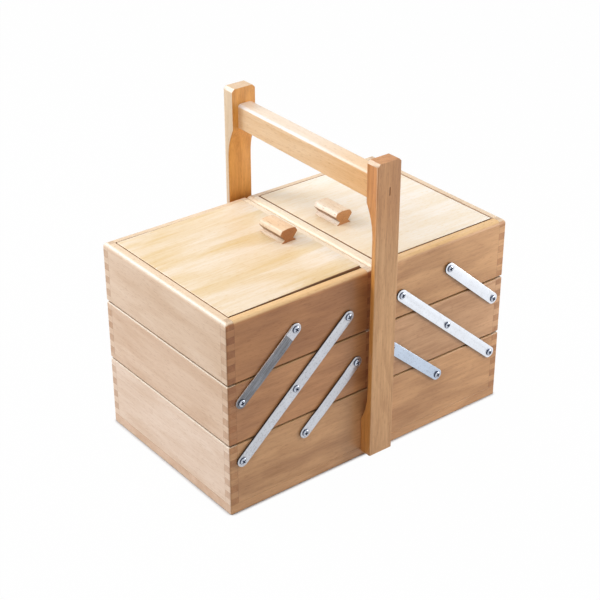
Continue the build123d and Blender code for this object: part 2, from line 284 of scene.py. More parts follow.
def makeWoodFigure():
    group, given, out = newGroup(
        "woodFigure",
        [
            ("Vector", vectorSocket, None),
            ("RingSize", floatSocket, 0.006),
            ("Waver", floatSocket, 0.5),
            ("StreakSize", floatSocket, 0.0022),
        ],
        [("Rings", floatSocket), ("Streaks", floatSocket), ("Flecks", floatSocket), ("Clouds", floatSocket)],
    )
    place = given["Vector"]
    # growth rings about the grain's own X axis, pushed about by slow noise
    waver = noise(group, mapped(group, place, Scale=woodGrain["waver"]), Detail=3.0, Roughness=0.5)
    parts = separated(group, place)
    across = calc(group, "MULTIPLY", parts[1], parts[1])
    deep = calc(group, "MULTIPLY", parts[2], parts[2])
    radius = calc(group, "SQRT", calc(group, "ADD", across, deep))
    count = calc(group, "DIVIDE", radius, given["RingSize"])
    push = calc(group, "MULTIPLY", calc(group, "SUBTRACT", waver, 0.5), given["Waver"])
    push = calc(group, "MULTIPLY", push, woodGrain["push"])
    year = calc(group, "FRACT", calc(group, "ADD", count, push))
    rise = ramp(group, year, *woodGrain["ringRise"])
    fall = ramp(group, year, *woodGrain["ringFall"], out=(1.0, 0.0))
    group.links.new(calc(group, "MULTIPLY", rise, fall), out["Rings"])
    # long thin streaks, some finer than others, short flecks and broad clouds
    wide = given["StreakSize"]
    long = calc(group, "MULTIPLY", wide, woodGrain["streakLong"])
    size = addNode(group, "ShaderNodeCombineXYZ", {"X": long, "Y": wide, "Z": wide})
    fine = vectorCalc(group, "DIVIDE", place, size.outputs[0])[0]
    streaks = noise(group, fine, Detail=4.0, Roughness=0.6, Distortion=0.35)
    group.links.new(ramp(group, streaks, *woodGrain["streakRamp"]), out["Streaks"])
    flecks = noise(group, mapped(group, place, Scale=woodGrain["flecks"]), Detail=1.0)
    group.links.new(ramp(group, flecks, *woodGrain["fleckRamp"]), out["Flecks"])
    clouds = noise(group, mapped(group, place, Scale=woodGrain["clouds"]), Detail=3.0, Distortion=0.6)
    group.links.new(ramp(group, clouds, *woodGrain["cloudRamp"]), out["Clouds"])
    return group


def makeFacing():
    # how far a surface faces one way, or either way along one line
    group, given, out = newGroup(
        "facing",
        [
            ("Normal", vectorSocket, None),
            ("Toward", vectorSocket, (1, 0, 0)),
            ("From", floatSocket, 0.6),
            ("Full", floatSocket, 0.9),
        ],
        [("OneWay", floatSocket), ("BothWays", floatSocket)],
    )
    match = vectorCalc(group, "DOT_PRODUCT", given["Normal"], given["Toward"])["Value"]
    for value, name in ((match, "OneWay"), (calc(group, "ABSOLUTE", match), "BothWays")):
        group.links.new(ramp(group, value, given["From"], given["Full"]), out[name])
    return group


def makeJointSeams():
    # the thin dark glue lines between the fingers at a tier's corners, and a number for each finger
    group, given, out = newGroup(
        "jointSeams",
        [
            ("Vector", vectorSocket, None),
            ("Middle", vectorSocket, None),
            ("Half", vectorSocket, None),
            ("Board", floatSocket, 0.0105),
            ("Pitch", floatSocket, 0.008),
            ("Line", floatSocket, 0.00022),
        ],
        [("Seam", floatSocket), ("Cell", floatSocket)],
    )
    away = vectorCalc(group, "SUBTRACT", given["Vector"], given["Middle"])[0]
    distance = vectorCalc(group, "ABSOLUTE", away)[0]
    depth = separated(group, vectorCalc(group, "SUBTRACT", given["Half"], distance)[0])
    inCorner = calc(group, "MAXIMUM", depth[0], depth[1])
    corner = calc(group, "LESS_THAN", inCorner, given["Board"])
    down = calc(group, "SUBTRACT", separated(group, given["Half"])[2], separated(group, away)[2])
    cells = calc(group, "DIVIDE", down, given["Pitch"])
    nearest = calc(group, "ABSOLUTE", calc(group, "SUBTRACT", cells, calc(group, "ROUND", cells)))
    gap = calc(group, "MULTIPLY", nearest, given["Pitch"])
    levelLine = calc(group, "MULTIPLY", calc(group, "LESS_THAN", gap, given["Line"]), corner)
    beside = calc(group, "ABSOLUTE", calc(group, "SUBTRACT", inCorner, given["Board"]))
    uprightLine = calc(group, "LESS_THAN", beside, given["Line"])
    group.links.new(calc(group, "MAXIMUM", levelLine, uprightLine), out["Seam"])
    finger = {"W": calc(group, "FLOOR", cells)}
    number = addNode(group, "ShaderNodeTexWhiteNoise", finger, noise_dimensions="1D")
    group.links.new(number.outputs["Value"], out["Cell"])
    return group


woodFigure = makeWoodFigure()
facing = makeFacing()
jointSeams = makeJointSeams()
print("grain, facing and joint patterns made")

grainTurn = {"x": (0, 0, 0), "y": (0, 0, radians(-90)), "z": (0, radians(90), 0)}
grainAlong = {"x": (1, 0, 0), "y": (0, 1, 0), "z": (0, 0, 1)}
woodRelief = {
    "boardApart": 9,  # boards are cut up to this far from each other along the grain
    "fingerShares": (0.6, 0.7),  # how much the fingers' end grain varies, and its least
    "streakRough": 0.1,
    "endRough": 0.12,
    "fleckDeep": 0.6,
    "bump": {"Strength": 0.22, "Distance": 0.00012},
}


def woodFinish(name, look, grain, heart, tier=None):
    # heart: where the tree's middle was, in the box's own metres
    material, tree = newMaterial(name)
    texture = addNode(tree, "ShaderNodeTexCoord")
    place, normal = texture.outputs["Object"], texture.outputs["Normal"]
    away = mapped(tree, place, Location=[-part for part in heart])
    shift = (random.uniform(0, woodRelief["boardApart"]), 0, 0)
    turned = mapped(tree, away, Rotation=grainTurn[grain], Location=shift)
    size = {"RingSize": look["ringSize"], "Waver": look["waver"], "StreakSize": look["streakSize"]}
    figure = useGroup(tree, woodFigure, Vector=turned, **size)
    dim = calc(tree, "MULTIPLY", figure["Rings"], look["rings"])
    dim = calc(tree, "MULTIPLY_ADD", figure["Streaks"], look["streaks"], dim)
    dim = calc(tree, "MULTIPLY_ADD", figure["Clouds"], look["clouds"], dim)
    colour = mixColour(tree, dim, (*look["light"], 1), (*look["dark"], 1))
    # tones by the way a surface faces: mostly painted light and shade, lit tops and ends, painted highlights
    # on eased edges, painted shade underneath
    for toward, light, dark, (start, full) in look["faces"]:
        mask = useGroup(tree, facing, Normal=normal, Toward=toward, From=start, Full=full)["OneWay"]
        colour = mixColour(tree, mask, colour, mixColour(tree, dim, (*light, 1), (*dark, 1)))
    speck = calc(tree, "MULTIPLY", figure["Flecks"], look["flecks"])
    colour = mixColour(tree, speck, colour, tinted(tree, colour, look["fleck"]))
    cut = useGroup(tree, facing, Normal=normal, Toward=grainAlong[grain])["BothWays"]
    endGrain = tinted(tree, colour, look["end"])
    endShare = look["endShare"]
    if tier:
        seams = useGroup(tree, jointSeams, Vector=place, **tier)
        spread, least = (share * look["endShare"] for share in woodRelief["fingerShares"])
        endShare = calc(tree, "MULTIPLY_ADD", seams["Cell"], spread, least)
    colour = mixColour(tree, calc(tree, "MULTIPLY", cut, endShare), colour, endGrain)
    if tier:
        glue = calc(tree, "MULTIPLY", seams["Seam"], look["seam"])
        colour = mixColour(tree, glue, colour, tinted(tree, colour, look["glue"]))
    # a tint along one axis; on the lids it is painted light and shade
    if look["drift"]:
        axis, start, stop, tint = look["drift"]
        drift = ramp(tree, separated(tree, place)[axis], start, stop)
        colour = mixColour(tree, drift, colour, tinted(tree, colour, tint))
    rough = calc(tree, "MULTIPLY_ADD", figure["Streaks"], woodRelief["streakRough"], look["rough"])
    rough = calc(tree, "MULTIPLY_ADD", cut, woodRelief["endRough"], rough)
    height = calc(tree, "MULTIPLY_ADD", figure["Flecks"], -woodRelief["fleckDeep"], figure["Streaks"])
    bump = addNode(tree, "ShaderNodeBump", {"Height": height, **woodRelief["bump"]})
    surface = {
        "Base Color": colour,
        "Roughness": rough,
        "Normal": bump.outputs[0],
        "Coat Weight": look["coat"],
        "Coat Roughness": look["coatRough"],
    }
    showSurface(tree, addNode(tree, "ShaderNodeBsdfPrincipled", surface))
    return material


# The ways that surfaces face, each with how squarely it must face to take on a tone; most of these tones are
# painted light and shade
squarely, slanting, below = (0.74, 0.92), (0.86, 0.96), (0.5, 0.85)
onTop, aroundTop = (0.5, 0.8), (0.35, 0.8)
left, right, top, under = (-1, 0, 0), (1, 0, 0), (0, 0, 1), (0, 0, -1)
leftEdge, rightEdge = (-0.707, 0, 0.707), (0.707, 0, 0.707)

baseLook = {
    "light": (0.68, 0.375, 0.165),
    "dark": (0.40, 0.185, 0.064),
    "faces": (),
    "end": (0.66, 0.50, 0.38),
    "endShare": 0.5,
    "fleck": (0.70, 0.58, 0.46),
    "flecks": 0.42,
    "glue": (0.42, 0.30, 0.22),
    "seam": 0.4,
    "drift": None,  # along which axis, from where to where, and its full tint
    "ringSize": 0.0105,
    "waver": 0.5,
    "streakSize": 0.0031,
    "rings": 0.2,
    "streaks": 0.28,
    "clouds": 0.46,
    "rough": 0.38,
    "coat": 0.3,
    "coatRough": 0.28,
}
# painted light: surfaces facing left or right, paler as if lit from the left, with sheen
paintedLitEnd = ((0.89, 0.69, 0.525), (0.72, 0.495, 0.325))
# painted light: the tops of the top tier's fronts, golden as if lit from above
paintedLitGold = ((0.84, 0.56, 0.29), (0.72, 0.44, 0.18))
# painted shade: the tops of the lower tiers' fronts, darker as if shaded by the tier above
paintedGapShadeTan = ((0.60, 0.36, 0.17), (0.46, 0.25, 0.10))
# painted light: tops of backs, ends and back post, and the left pull's foot, paler as if lit from above
paintedLitCream = ((0.80, 0.62, 0.44), (0.70, 0.51, 0.33))
# painted highlight on edges eased at 45 degrees, on ends and posts
paintedHighlight = ((0.83, 0.70, 0.57), (0.76, 0.61, 0.47))
# painted light and highlight: the tops and eased edges of the inner ends, dividers and rests
paintedPalestLight = ((0.94, 0.83, 0.65), (0.88, 0.74, 0.56))
# painted shade: surfaces facing down, under the tiers' rims
paintedUnderShade = ((0.20, 0.085, 0.03), (0.14, 0.055, 0.02))
# painted shade: the hollow under a pull's brim
paintedHollowShade = ((0.34, 0.16, 0.055), (0.22, 0.09, 0.03))
# the ply's own darker edge, with painted shade on it in the gaps round the lids
plyEdgeAndGapShade = ((0.36, 0.18, 0.075), (0.22, 0.10, 0.04))
paintedLitEnds = ((left, *paintedLitEnd, squarely), (right, *paintedLitEnd, squarely))
frontLook = dict(baseLook, faces=(*paintedLitEnds, (top, *paintedLitGold, aroundTop), (under, *paintedUnderShade, squarely)))
lowFrontLook = dict(baseLook, faces=(*paintedLitEnds, (top, *paintedGapShadeTan, aroundTop), (under, *paintedUnderShade, below)))
backLook = dict(baseLook, faces=(*paintedLitEnds, (top, *paintedLitCream, onTop)))
endLook = dict(
    baseLook,
    faces=(
        *paintedLitEnds,
        (top, *paintedLitCream, onTop),
        (leftEdge, *paintedHighlight, slanting),
        (rightEdge, *paintedHighlight, slanting),
        (under, *paintedUnderShade, below),
    ),
)
innerLook = dict(
    baseLook,
    faces=((top, *paintedPalestLight, onTop), (leftEdge, *paintedPalestLight, slanting), (rightEdge, *paintedPalestLight, slanting)),
)
plyEdgesAndGapShade = tuple((toward, *plyEdgeAndGapShade, squarely) for toward in (left, right, (0, -1, 0), (0, 1, 0)))
leftLidLook = dict(
    baseLook,
    light=(0.82, 0.70, 0.56),
    dark=(0.71, 0.51, 0.24),
    faces=plyEdgesAndGapShade,
    endShare=0.0,
    fleck=(0.93, 0.84, 0.66),
    flecks=0.8,
    streakSize=0.0042,
    rings=0.0,
    streaks=0.42,
    clouds=0.55,
    # painted light near the middle, making up for the bar's shadow
    drift=(0, -0.07, 0.0, (1.06, 1.14, 1.28)),
)
rightLidLook = dict(
    leftLidLook,
    light=(0.91, 0.84, 0.76),
    dark=(0.84, 0.71, 0.53),
    clouds=0.45,
    # painted shade near the middle, warm as if in the bar's shadow
    drift=(0, 0.12, 0.01, (1.02, 0.98, 0.88)),
)
handleLook = dict(
    baseLook,
    light=(0.73, 0.415, 0.19),
    dark=(0.49, 0.24, 0.09),
    end=(0.85, 0.74, 0.62),
    ringSize=0.008,
    streakSize=0.0018,
    streaks=0.45,
    rings=0.3,
    clouds=0.25,
)
frontUprightLook = dict(
    handleLook,
    faces=(
        (left, (0.74, 0.34, 0.085), (0.50, 0.20, 0.035), squarely),
        (right, *paintedLitEnd, squarely),
        (leftEdge, *paintedHighlight, slanting),
    ),
    drift=(2, 0.25, 0.33, (0.90, 0.79, 0.68)),
)
backUprightLook = dict(
    handleLook,
    light=(0.87, 0.42, 0.095),
    dark=(0.60, 0.235, 0.035),
    faces=(
        # painted light: the left face, paler as if lit from the left
        (left, (0.84, 0.66, 0.475), (0.74, 0.55, 0.36), squarely),
        (right, *paintedLitEnd, squarely),
        (top, *paintedLitCream, onTop),
        (leftEdge, *paintedHighlight, slanting),
    ),
)
barLook = dict(
    handleLook,
    light=(0.90, 0.645, 0.40),
    dark=(0.78, 0.50, 0.25),
    faces=(
        # painted light on the bar's top, and a painted highlight on its rounded top left edge
        (top, (0.86, 0.72, 0.58), (0.80, 0.65, 0.50), onTop),
        (leftEdge, (0.84, 0.77, 0.73), (0.78, 0.70, 0.65), slanting),
    ),
    drift=(1, 0.02, -0.12, (0.97, 0.80, 0.58)),
    endShare=0.0,
)


def pullFaces(foot):
    # the slopes of the foot get a painted light tone, and the hollow under the brim gets painted shade
    hollows = tuple(((way, 0, -0.64), *paintedHollowShade, (0.8, 0.95)) for way in (-0.77, 0.77))
    return ((leftEdge, *foot, (0.75, 0.92)), (left, *foot, squarely), *hollows)


pullLook = dict(
    baseLook,
    light=(0.84, 0.63, 0.42),
    dark=(0.74, 0.48, 0.27),
    faces=pullFaces(paintedLitCream),
    end=(0.50, 0.25, 0.07),
    endShare=0.95,
    streaks=0.5,
    flecks=0.9,
    coat=0.25,
)
# painted light: the foot's slopes, paler as if catching the light
paintedLitFoot = ((0.97, 0.88, 0.76), (0.94, 0.80, 0.66))
# painted light: the right pull as a lighter copy of the left, making up for the bar's shadow on it
paintedLitRightPullLook = dict(
    pullLook,
    light=(0.92, 0.74, 0.54),
    dark=(0.82, 0.58, 0.36),
    faces=pullFaces(paintedLitFoot),
    end=(0.62, 0.34, 0.13),
)
plyLook = dict(baseLook, light=(0.80, 0.62, 0.42), dark=(0.70, 0.50, 0.31), rings=0.15)
wedgeLook = dict(baseLook, light=(0.16, 0.07, 0.03), dark=(0.10, 0.04, 0.015))


# Tools for shaping a piece by hand

closeBy = 0.00001  # metres within which two places count as one
squareTo = 0.9  # how much of a face's normal points the way that it is said to face
smoothBelow = 35  # degrees between faces that are shaded as one surface


def only(piece):
    deselectAll()
    piece.select_set(True)
    bpy.context.view_layer.objects.active = piece


def applyPlace(piece):
    only(piece)
    bpy.ops.object.transform_apply(location=True, rotation=True, scale=True)


def startEditing(piece):
    only(piece)
    bpy.ops.object.mode_set(mode="EDIT")
    bpy.ops.mesh.select_all(action="DESELECT")


def stopEditing():
    bpy.ops.object.mode_set(mode="OBJECT")


def pick(piece, kind, chosen):
    # selects the corners, edges or faces of the piece in hand that chosen accepts
    bpy.ops.mesh.select_mode(type={"verts": "VERT", "edges": "EDGE", "faces": "FACE"}[kind])
    bpy.ops.mesh.select_all(action="DESELECT")
    mesh = bmesh.from_edit_mesh(piece.data)
    for element in getattr(mesh, kind):
        if chosen(element):
            element.select_set(True)
    mesh.select_flush_mode()
    bmesh.update_edit_mesh(piece.data)


def near(first, second):
    return abs(first - second) < closeBy


def liesAt(edge, axis, place):
    return all(near(vert.co[axis], place) for vert in edge.verts)


def cutAcross(point, normal):
    bpy.ops.mesh.select_all(action="SELECT")
    bpy.ops.mesh.bisect(plane_co=point, plane_no=normal, use_fill=False)


def applyModifier(piece, kind, **settings):
    modifier = piece.modifiers.new(kind.lower(), kind)
    for name, value in settings.items():
        setattr(modifier, name, value)
    only(piece)
    bpy.ops.object.modifier_apply(modifier=modifier.name)


def easeEdges(piece, look):
    limit = {"limit_method": "ANGLE", "angle_limit": radians(look["sharp"])}
    applyModifier(piece, "BEVEL", width=look["edge"], segments=look["edgeSteps"], **limit)


def smoothed(piece):
    only(piece)
    bpy.ops.object.shade_smooth_by_angle(angle=radians(smoothBelow))


def outward(piece):
    startEditing(piece)
    bpy.ops.mesh.select_all(action="SELECT")
    bpy.ops.mesh.remove_doubles(threshold=closeBy)
    bpy.ops.mesh.normals_make_consistent(inside=False)
    stopEditing()


def copied(piece, name):
    twin = piece.copy()
    twin.data = piece.data.copy()
    twin.name = name
    bpy.context.scene.collection.objects.link(twin)
    return twin


def joined(pieces, name):
    deselectAll()
    for piece in pieces:
        piece.select_set(True)
    bpy.context.view_layer.objects.active = pieces[0]
    bpy.ops.object.join()
    pieces[0].name = name
    return pieces[0]


def removed(piece):
    bpy.data.objects.remove(piece, do_unlink=True)


def cutOut(piece, blade):
    applyModifier(piece, "BOOLEAN", operation="DIFFERENCE", object=blade, solver="EXACT")
    removed(blade)


def inMiddleOf(low, high):
    return (low + high) / 2


# Steel: zinc plate with soft brushing along the strip and small dull spots

zincPattern = {
    "brushRamp": (0.3, 0.7),
    "spotScale": 520.0,
    "spotRamp": (0.54, 0.66),
    "cloudScale": 60.0,
    "cloudRamp": (0.3, 0.7),
    "brushRough": 0.08,
    "bump": {"Strength": 0.12, "Distance": 0.00005},
}


def makeZinc():
    group, given, out = newGroup(
        "zincPlate",
        [("Vector", vectorSocket, None), ("Along", floatSocket, 40.0), ("Across", floatSocket, 900.0)],
        [("Brush", floatSocket), ("Spots", floatSocket), ("Clouds", floatSocket)],
    )
    place, across = given["Vector"], given["Across"]
    size = addNode(group, "ShaderNodeCombineXYZ", {"X": given["Along"], "Y": across, "Z": across})
    brush = noise(group, vectorCalc(group, "MULTIPLY", place, size.outputs[0])[0], Detail=3.0)
    group.links.new(ramp(group, brush, *zincPattern["brushRamp"]), out["Brush"])
    spots = noise(group, place, Scale=zincPattern["spotScale"], Detail=2.0)
    group.links.new(ramp(group, spots, *zincPattern["spotRamp"]), out["Spots"])
    clouds = noise(group, place, Scale=zincPattern["cloudScale"], Detail=2.0)
    group.links.new(ramp(group, clouds, *zincPattern["cloudRamp"]), out["Clouds"])
    return group


zincPlate = makeZinc()
strapTilt = {"left": 41.24, "right": -41.24}  # the straps' slope, in degrees


def steelFinish(name, look, tilt=0.0):
    material, tree = newMaterial(name)
    texture = addNode(tree, "ShaderNodeTexCoord")
    turned = mapped(tree, texture.outputs["Object"], Rotation=(0, radians(tilt), 0))
    plate = useGroup(tree, zincPlate, Vector=turned)
    share = calc(tree, "MULTIPLY", plate["Brush"], look["brush"])
    share = calc(tree, "MULTIPLY_ADD", plate["Clouds"], look["clouds"], share)
    share = calc(tree, "MULTIPLY_ADD", plate["Spots"], look["spots"], share)
    tone = mixColour(tree, share, (*look["bright"], 1), (*look["dull"], 1))
    # painted rim tone: painted shade on the narrow edges, and on the dark strap a painted highlight
    broad = {"Normal": texture.outputs["Normal"], "Toward": (0, 1, 0)}
    broadside = useGroup(tree, facing, From=look["rimTo"], Full=look["rimFrom"], **broad)
    tone = mixColour(tree, broadside["BothWays"], (*look["rim"], 1), tone)
    rough = calc(tree, "MULTIPLY_ADD", plate["Brush"], zincPattern["brushRough"], look["rough"])
    bump = addNode(tree, "ShaderNodeBump", {"Height": plate["Brush"], **zincPattern["bump"]})
    surface = {"Base Color": tone, "Roughness": rough, "Normal": bump.outputs[0], "Metallic": 1.0}
    showSurface(tree, addNode(tree, "ShaderNodeBsdfPrincipled", surface))
    return material


rightStrapLook = {
    "bright": (0.86, 0.90, 0.97),
    "dull": (0.62, 0.63, 0.66),
    "brush": 0.15,
    "clouds": 0.2,
    "spots": 0.3,
    "rough": 0.3,
    "rim": (0.12, 0.12, 0.13),  # painted shade on the narrow edges
    "rimTo": 0.35,
    "rimFrom": 0.75,
}
# painted reflection: the left straps as a dimmer copy of the same zinc
paintedDimLeftStrapLook = dict(rightStrapLook, bright=(0.63, 0.65, 0.70), dull=(0.38, 0.38, 0.41), spots=0.5)
# painted reflection: this strap dark as if it mirrored something dark
paintedDarkReflectionStrapLook = dict(
    rightStrapLook,
    bright=(0.27, 0.28, 0.31),
    dull=(0.15, 0.15, 0.16),
    brush=0.8,
    rim=(0.75, 0.76, 0.80),  # a painted highlight on its edge
)
# painted shade: a bluer, dimmer copy of the same zinc for the right lower strap
paintedShadeBlueStrapLook = dict(rightStrapLook, bright=(0.58, 0.67, 0.80), dull=(0.38, 0.43, 0.52), spots=0.5)
screwLook = dict(
    rightStrapLook,
    bright=(0.58, 0.62, 0.70),
    dull=(0.30, 0.34, 0.42),
    rough=0.2,
    # painted shade round the head's rim
    rim=(0.05, 0.06, 0.10),
    rimTo=0.66,
    rimFrom=0.88,
)
# painted shade: the cross recess, dark as if no light reached into it
paintedRecessShadeLook = dict(
    rightStrapLook,
    bright=(0.06, 0.08, 0.16),
    dull=(0.03, 0.04, 0.08),
    rim=(0.04, 0.05, 0.10),
    rough=0.5,
)
strapFinish = {
    "left": steelFinish("left_strap_zinc", paintedDimLeftStrapLook, strapTilt["left"]),
    "right": steelFinish("right_strap_zinc", rightStrapLook, strapTilt["right"]),
    "dark": steelFinish("dark_strap_zinc", paintedDarkReflectionStrapLook, strapTilt["left"]),
    "shadedBlue": steelFinish("blue_strap_zinc", paintedShadeBlueStrapLook, strapTilt["right"]),
}
screwFinish = steelFinish("screw_zinc", screwLook)
paintedRecessShadeFinish = steelFinish("screw_recess", paintedRecessShadeLook)
print("zinc plate made")


# Straps: flat zinc-plated strips with round ends, the short ones slightly cranked

strap = {
    "wide": 0.014,
    "endCorners": 48,
    "edge": 0.0005,
    "edgeSteps": 3,
    "sharp": 50,  # degrees
    "holeRadius": 0.0021,
    "holeCorners": 32,
    "drillLong": 0.02,
    "crank": 0.0005,  # how far the middle of a cranked strap stands out
    "crankAt": (0.20, 0.28, 0.80, 0.88),  # shares of the strap's length
    "brightEnd": 0.85,  # times its width, how far from its right end the painted dark reflection is left off
}


def strapPivots(name):
    low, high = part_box(name)
    inset = strap["wide"] / 2
    ends = [low.x + inset, high.x - inset]
    if name.startswith("right"):
        ends.reverse()
    first = Vector((ends[0], 0, low.z + inset))
    last = Vector((ends[1], 0, high.z - inset))
    return [first, (first + last) / 2, last] if "long" in name else [first, last]


def modelStrap(node, cranked):
    low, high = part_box(node)
    pivots = strapPivots(node)
    first, last = pivots[0], pivots[-1]
    along = (last - first).normalized()
    deselectAll()
    bpy.ops.mesh.primitive_circle_add(
        vertices=strap["endCorners"],
        radius=strap["wide"] / 2,
        fill_type="NGON",
        location=(first.x, high.y, first.z),
        rotation=(radians(90), 0, 0),
    )
    piece = bpy.context.object
    piece.name = node + "_rolled"
    applyPlace(piece)
    startEditing(piece)
    pick(piece, "verts", lambda vert: (vert.co - first).dot(along) > 0)
    bpy.ops.transform.translate(value=last - first)
    bpy.ops.mesh.select_all(action="SELECT")
    bpy.ops.mesh.extrude_region_move(TRANSFORM_OT_translate={"value": (0, low.y - high.y, 0)})
    if cranked:
        span = (last - first).length
        for share in strap["crankAt"]:
            cutAcross(first + along * span * share, along)
        start, end = span * strap["crankAt"][1], span * strap["crankAt"][2]
        slack = 5 * closeBy
        pick(piece, "verts", lambda vert: start - slack < (vert.co - first).dot(along) < end + slack)
        bpy.ops.transform.translate(value=(0, -strap["crank"], 0))
    stopEditing()
    outward(piece)
    for pivot in pivots:
        deselectAll()
        bpy.ops.mesh.primitive_cylinder_add(
            vertices=strap["holeCorners"],
            radius=strap["holeRadius"],
            depth=strap["drillLong"],
            location=(pivot.x, low.y, pivot.z),
            rotation=(radians(90), 0, 0),
        )
        cutOut(piece, bpy.context.object)
    easeEdges(piece, strap)
    smoothed(piece)
    return piece


def mirrored(piece, name, sides):
    twin = copied(piece, name)
    twin.scale = sides
    applyPlace(twin)
    outward(twin)
    return twin


straps = {}
for kind, cranked in (("long", False), ("lower", True), ("upper", True)):
    master = modelStrap(f"left_front_{kind}_strap", cranked)
    for side, face, sides in (
        ("right", "front", (-1, 1, 1)),
        ("left", "back", (1, -1, 1)),
        ("right", "back", (-1, -1, 1)),
    ):
        node = f"{side}_{face}_{kind}_strap"
        straps[node] = mirrored(master, node + "_rolled", sides)
    straps[f"left_front_{kind}_strap"] = master
for node, piece in straps.items():
    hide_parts(node)
    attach(piece, f"{node.split('_')[0]}_{node.split('_')[2]}_straps")
print("%d straps rolled" % len(straps))


# Pivot screws: pan heads with a cross recess, and a shank with a short point

pivotScrew = {
    "headRadius": 0.0043,
    "corners": 40,
    "rimHigh": 0.0007,
    "dome": ((0.0005, 0.0005), (0.0008, 0.0004), (0.0010, 0.0003), (0.0010, 0.0001)),  # inset, rise
    "shankRadius": 0.002,
    "sink": 0.0112,
    "pointInset": 0.0012,
    "pointLong": 0.002,
    "recess": (0.0062, 0.0018, 0.0018),  # long, wide and deep
    "recessTaper": 0.7,
    "recessTop": 0.0015,  # the faces in the recess have their middles below this
    "recessFoot": 0.0001,  # and above this
    "edge": 0.00012,
    "edgeSteps": 2,
    "sharp": 40,  # degrees
    "under": 0.0001,  # air between the strap and the head
}


def modelScrew():
    look = pivotScrew
    deselectAll()
    bpy.ops.mesh.primitive_cylinder_add(
        vertices=look["corners"],
        radius=look["headRadius"],
        depth=look["rimHigh"],
        location=(0, 0, look["rimHigh"] / 2),
    )
    screw = bpy.context.object
    applyPlace(screw)
    startEditing(screw)
    pick(screw, "faces", lambda face: face.normal.z > squareTo)
    for inset, rise in look["dome"]:
        bpy.ops.mesh.inset(thickness=inset, depth=0)
        bpy.ops.transform.translate(value=(0, 0, rise))
    pick(screw, "faces", lambda face: face.normal.z < -squareTo)
    bpy.ops.mesh.inset(thickness=look["headRadius"] - look["shankRadius"], depth=0)
    for long, inset in ((look["sink"] - look["pointLong"], 0), (look["pointLong"], look["pointInset"])):
        bpy.ops.mesh.extrude_region_move(TRANSFORM_OT_translate={"value": (0, 0, -long)})
        narrower = 1 - inset / look["shankRadius"]
        if inset:
            bpy.ops.transform.resize(value=(narrower, narrower, 1))
    stopEditing()
    crown = max(vert.co.z for vert in screw.data.vertices)
    long, wide, deep = look["recess"]
    for size in ((long, wide), (wide, long)):
        deselectAll()
        bpy.ops.mesh.primitive_cube_add(size=1, location=(0, 0, crown), scale=(*size, 2 * deep))
        blade = bpy.context.object
        applyPlace(blade)
        startEditing(blade)
        pick(blade, "verts", lambda vert: vert.co.z < crown)
        bpy.ops.transform.resize(value=(look["recessTaper"], look["recessTaper"], 1))
        stopEditing()
        cutOut(screw, blade)
    easeEdges(screw, look)
    outward(screw)
    smoothed(screw)
    for finish in (screwFinish, paintedRecessShadeFinish):
        screw.data.materials.append(finish)
    # the faces in the cross recess take the painted shade
    for face in screw.data.polygons:
        sunk = look["recessFoot"] < face.center.z < look["recessTop"]
        face.material_index = 1 if sunk and face.center.xy.length < long / 2 else 0
    return screw


def placeScrew(master, pivot, face):
    # face is -1 on the front and +1 on the back, and the cross is left at any angle
    screw = copied(master, "screw")
    spin = random.uniform(0, 90)
    screw.rotation_mode = "QUATERNION"
    screw.rotation_quaternion = Vector((0, 0, 1)).rotation_difference(Vector((0, face, 0)))
    screw.location = (pivot.x, face * screwFace, pivot.z)
    applyPlace(screw)
    startEditing(screw)
    bpy.ops.mesh.select_all(action="SELECT")
    bpy.ops.transform.rotate(
        value=radians(spin), orient_axis="Y", orient_type="GLOBAL", center_override=(pivot.x, 0, pivot.z)
    )
    stopEditing()
    return screw


screwFace = -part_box("left_front_long_strap")[0].y + pivotScrew["under"]
# the screws of each tier, as places in their straps' lists of pivots
screwPlan = {
    "bottom": (("long", 0), ("lower", 0)),
    "middle": (("long", 1), ("lower", 1), ("upper", 0)),
    "top": (("long", 2), ("upper", 1)),
}
screwMaster = modelScrew()


def screwsOf(tierName, side):
    made = []
    for kind, place in screwPlan[tierName]:
        pivot = strapPivots(f"{side}_front_{kind}_strap")[place]
        made += [placeScrew(screwMaster, pivot, face) for face in (-1, 1)]
    return made


piece = joined(screwsOf("bottom", "left") + screwsOf("bottom", "right"), "bottom_cross_screws")
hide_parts("bottom_pivot_screws")
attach(piece, "base")
for tierName in ("middle", "top"):
    for side in ("left", "right"):
        piece = joined(screwsOf(tierName, side), f"{side}_{tierName}_cross_screws")
        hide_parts(f"{side}_{tierName}_pivot_screws")
        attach(piece, f"{side}_{tierName}_tray")
removed(screwMaster)
print("pivot screws turned and placed")


# Lids: a plywood panel with a rounded outer end, cut into a grid so that it can warp, and its pull

lid = {
    "topEdge": 0.0008,
    "topSteps": 3,
    "cuts": (10, 10),
    "cutBack": {"left": (0.0005, 0), "right": (0.0005, 0.0010)},  # at the outer end and the free edge
    "outerTop": 0.0013,
    "outerUnder": 0.0039,
    "outerSteps": 6,
    "lift": {"left": (0.0028, 0.0012), "right": (0.0003, 0.0001)},  # of the free edge's front and back
}
pull = {
    # height above the lid as a share of the pull's own, half width as a share of the brim's, rounding
    "levels": (
        (0.0, 0.81, None),
        (0.05, 0.81, None),
        (0.21, 0.50, 0.0007),
        (0.647, 1.0, 0.0007),
        (0.94, 0.758, 0.0017),
    ),
    "crownCuts": (-0.4, 0.0, 0.4),
    "crownRise": (0.72, 1.0, 0.72),
    "roundSteps": 4,
    "endChamfer": 0.0004,
}


